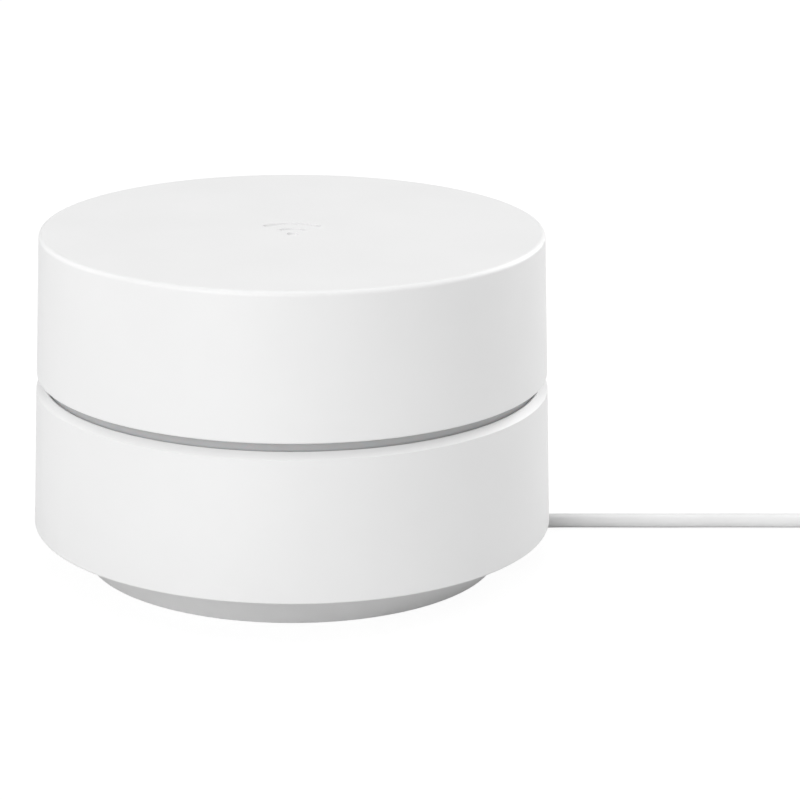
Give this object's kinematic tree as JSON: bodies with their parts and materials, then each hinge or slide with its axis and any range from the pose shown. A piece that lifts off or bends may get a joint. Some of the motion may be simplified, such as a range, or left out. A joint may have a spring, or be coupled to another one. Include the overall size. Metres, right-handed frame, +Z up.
{
  "type": "wireless router",
  "caption": "Round two-part mesh router with a light ring in its seam, a socket bay under the base, a reset button, and a coiled power lead with its wall adapter.",
  "frame": {"origin": "middle of the foot, on the table that the router stands on", "axes": "+Z up through the top face; +X from the middle towards the socket bay, where the cables leave"},
  "size_m": [0.2539, 0.1253, 0.0688],
  "materials": {
    "cover_white": "fine matte moulded",
    "ring_diffuser": "satin translucent",
    "base_white": "fine matte moulded",
    "foot_rubber": "soft matte",
    "button_white": "satin",
    "frame_plastic": "matte",
    "carrier_plastic": "matte",
    "main_board_green": "satin solder mask",
    "led_board_white": "satin solder mask",
    "led_lens": "clear gloss",
    "chip_black": "matte epoxy",
    "ferrite_grey": "matte",
    "can_tin": "tinned",
    "capacitor_can": "bright",
    "heatsink_cast": "as cast",
    "pad_grey": "soft",
    "screw_steel": "zinc plated",
    "antenna_brass": "stamped",
    "contact_gold": "plated",
    "coax_jacket": "satin",
    "ribbon_film": "gloss film",
    "socket_plastic": "satin",
    "label_film": "satin film",
    "plug_metal": "nickel plated",
    "lead_white": "satin jacket",
    "tie_white": "woven strap",
    "adapter_white": "satin moulded"
  },
  "bodies": {
    "router": {"top_cover": "cover_white", "lower_cover": "cover_white", "light_ring": "ring_diffuser", "led_board": "led_board_white", "status_leds": "led_lens", "led_cable": "ribbon_film", "led_socket": "led_board_white", "mid_frame": "frame_plastic", "frame_screws": "screw_steel", "antenna_carrier": "carrier_plastic", "antenna_1": "antenna_brass", "antenna_2": "antenna_brass", "antenna_3": "antenna_brass", "antenna_4": "antenna_brass", "antenna_leads": "coax_jacket", "coax_plugs": "contact_gold", "heatsink": "heatsink_cast", "heatsink_screws": "screw_steel", "thermal_pads": "pad_grey", "shield_cans": "can_tin", "processor": "chip_black", "memory_chips": "chip_black", "radio_chips": "chip_black", "main_board": "main_board_green", "network_transformers": "chip_black", "power_inductors": "ferrite_grey", "capacitors": "capacitor_can", "lan_jack": "socket_plastic", "wan_jack": "socket_plastic", "lan_contacts": "contact_gold", "wan_contacts": "contact_gold", "power_jack": "socket_plastic", "power_jack_pin": "plug_metal", "reset_switch": "chip_black", "port_bay": "base_white", "base_plate": "base_white", "base_screws": "screw_steel", "foot_ring": "foot_rubber", "blank_label": "label_film", "plug_barrel": "plug_metal", "plug_grip": "lead_white", "power_cord": "lead_white", "cord_coil": "lead_white", "cord_tie": "tie_white", "adapter_relief": "lead_white", "adapter_case": "adapter_white", "adapter_lid": "adapter_white", "adapter_blades": "plug_metal", "adapter_board": "main_board_green", "adapter_transformer": "ferrite_grey", "adapter_capacitor": "capacitor_can"},
    "button": {"reset_button": "button_white", "switch_plunger": "chip_black"}
  },
  "joints": [
    {"name": "reset_press", "type": "slide", "parent": "router", "child": "button", "axis": [0, 0, 1], "range_m": [0, 0.0005], "stiffness_N_per_m": 1500, "springref_m": -0.0003}
  ]
}
